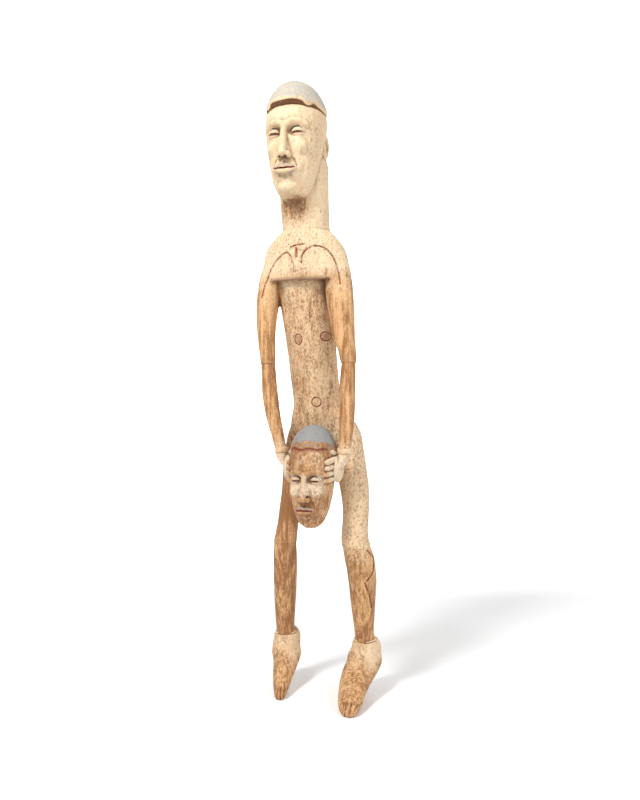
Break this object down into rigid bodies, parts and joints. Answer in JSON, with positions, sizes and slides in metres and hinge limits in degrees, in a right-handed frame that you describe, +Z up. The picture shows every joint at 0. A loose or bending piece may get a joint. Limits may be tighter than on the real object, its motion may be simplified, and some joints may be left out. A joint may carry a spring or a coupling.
{
  "type": "carved ancestor figure",
  "caption": "Slim standing carved wood ancestor figure with a tall capped head, long arms and pointed feet, holding a carved head before its hips with both hands.",
  "frame": {"origin": "on the floor, below the middle of the figure's bounding box", "axes": "+Z up the figure; the face, toes and held head point to -Y; +X is the figure's own left"},
  "size_m": [0.2564, 0.2254, 1.299],
  "materials": {
    "carved_wood": "tan wood rubbed with pale lime, speckled brown, with reddish pigment in the cuts",
    "limed_wood": "cream lime wash over tan wood, worn and speckled",
    "painted_hair": "chalky grey earth paint over carved wood",
    "lime_filler": "rough white lime putty",
    "dowel_wood": "plain round wooden rod"
  },
  "bodies": {
    "root": {"ankle_dowel_left": "dowel_wood", "ankle_dowel_right": "dowel_wood", "ankle_filler_left": "lime_filler", "ankle_filler_right": "lime_filler", "cap_dowel": "dowel_wood", "elbow_dowel_left": "dowel_wood", "elbow_dowel_right": "dowel_wood", "foot_left": "carved_wood", "foot_right": "carved_wood", "forearm_left": "carved_wood", "forearm_right": "carved_wood", "hair_cap": "painted_hair", "head_and_neck": "limed_wood", "held_head": "carved_wood", "held_head_dowel": "dowel_wood", "knee_dowel_left": "dowel_wood", "knee_dowel_right": "dowel_wood", "neck_dowel": "dowel_wood", "shin_left": "carved_wood", "shin_right": "carved_wood", "trunk": "carved_wood", "wrist_dowel_left": "dowel_wood", "wrist_dowel_right": "dowel_wood", "wrist_filler_left": "lime_filler", "wrist_filler_right": "lime_filler"}
  },
  "joints": []
}
